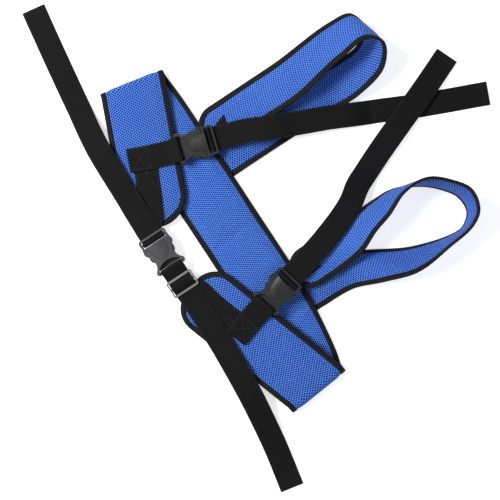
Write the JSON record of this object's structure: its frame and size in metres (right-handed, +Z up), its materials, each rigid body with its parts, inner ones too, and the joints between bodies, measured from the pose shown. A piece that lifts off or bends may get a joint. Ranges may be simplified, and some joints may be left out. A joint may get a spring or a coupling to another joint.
{
  "type": "gait belt with leg loops",
  "caption": "Padded waist belt with two sewn leg loops, side-release buckles at the waist and legs, and adjustable webbing with long free ends.",
  "frame": {"origin": "middle of the whole outline as laid out, on the table", "axes": "X along the back panel towards the wearer's right, Y towards the leg loops, Z up off the table"},
  "size_m": [0.8618, 0.6252, 0.0755],
  "materials": {
    "blue_air_mesh": "knitted spacer mesh",
    "binding_tape": "woven binding",
    "webbing": "ribbed weave",
    "foam": "open-cell foam",
    "acetal": "satin moulded"
  },
  "bodies": {
    "belt": {"belt_binding": "binding_tape", "belt_foam": "foam", "belt_lining_mesh": "blue_air_mesh", "belt_outer_mesh": "blue_air_mesh", "left_leg_anchor_strap": "webbing", "left_leg_binding": "binding_tape", "left_leg_female_buckle": "acetal", "left_leg_foam": "foam", "left_leg_lining_mesh": "blue_air_mesh", "left_leg_outer_mesh": "blue_air_mesh", "left_leg_strap": "webbing", "right_leg_anchor_strap": "webbing", "right_leg_binding": "binding_tape", "right_leg_female_buckle": "acetal", "right_leg_foam": "foam", "right_leg_lining_mesh": "blue_air_mesh", "right_leg_outer_mesh": "blue_air_mesh", "right_leg_strap": "webbing", "waist_female_buckle": "acetal", "waist_strap_left": "webbing", "waist_strap_right": "webbing"},
    "slider": {"waist_slider": "acetal"},
    "waist_male": {"waist_male_buckle": "acetal", "waist_tail_left": "webbing"},
    "waist_near_arm": {"waist_near_arm": "acetal"},
    "waist_far_arm": {"waist_far_arm": "acetal"},
    "left_leg_male": {"left_leg_male_buckle": "acetal", "left_leg_tail": "webbing"},
    "left_leg_near_arm": {"left_leg_near_arm": "acetal"},
    "left_leg_far_arm": {"left_leg_far_arm": "acetal"},
    "right_leg_male": {"right_leg_male_buckle": "acetal", "right_leg_tail": "webbing"},
    "right_leg_near_arm": {"right_leg_near_arm": "acetal"},
    "right_leg_far_arm": {"right_leg_far_arm": "acetal"}
  },
  "joints": [
    {"name": "waist_release", "type": "slide", "parent": "belt", "child": "waist_male", "axis": [-1, 0, 0], "range_m": [0, 0.03], "deforming": ["waist_near_arm", "waist_far_arm", "waist_strap_left"]},
    {"name": "waist_near_squeeze", "type": "hinge", "parent": "waist_male", "child": "waist_near_arm", "pos_m": [-0.01073, -0.27565, 0.02355], "axis": [0, 0, 1], "range_deg": [0, 9.5], "stiffness_Nm_per_rad": 0.3},
    {"name": "waist_far_squeeze", "type": "hinge", "parent": "waist_male", "child": "waist_far_arm", "pos_m": [-0.01073, -0.24625, 0.02355], "axis": [0, 0, -1], "range_deg": [0, 9.5], "stiffness_Nm_per_rad": 0.3},
    {"name": "left_leg_release", "type": "slide", "parent": "belt", "child": "left_leg_male", "axis": [0.2924, 0.9563, 0], "range_m": [0, 0.03], "deforming": ["left_leg_near_arm", "left_leg_far_arm", "left_leg_strap"]},
    {"name": "left_leg_near_squeeze", "type": "hinge", "parent": "left_leg_male", "child": "left_leg_near_arm", "pos_m": [-0.11602, -0.1061, 0.02405], "axis": [0, 0, 1], "range_deg": [0, 9.5], "stiffness_Nm_per_rad": 0.3},
    {"name": "left_leg_far_squeeze", "type": "hinge", "parent": "left_leg_male", "child": "left_leg_far_arm", "pos_m": [-0.0879, -0.1147, 0.02405], "axis": [0, 0, -1], "range_deg": [0, 9.5], "stiffness_Nm_per_rad": 0.3},
    {"name": "right_leg_release", "type": "slide", "parent": "belt", "child": "right_leg_male", "axis": [-0.225, 0.9744, 0], "range_m": [0, 0.03], "deforming": ["right_leg_near_arm", "right_leg_far_arm", "right_leg_strap"]},
    {"name": "right_leg_near_squeeze", "type": "hinge", "parent": "right_leg_male", "child": "right_leg_near_arm", "pos_m": [0.13612, -0.13302, 0.02823], "axis": [0, 0, 1], "range_deg": [0, 9.5], "stiffness_Nm_per_rad": 0.3},
    {"name": "right_leg_far_squeeze", "type": "hinge", "parent": "right_leg_male", "child": "right_leg_far_arm", "pos_m": [0.16476, -0.1264, 0.02823], "axis": [0, 0, -1], "range_deg": [0, 9.5], "stiffness_Nm_per_rad": 0.3},
    {"name": "slider_slide", "type": "slide", "parent": "belt", "child": "slider", "axis": [1, 0, 0], "range_m": [-0.006, 0.004], "deforming": ["waist_strap_right"]}
  ]
}
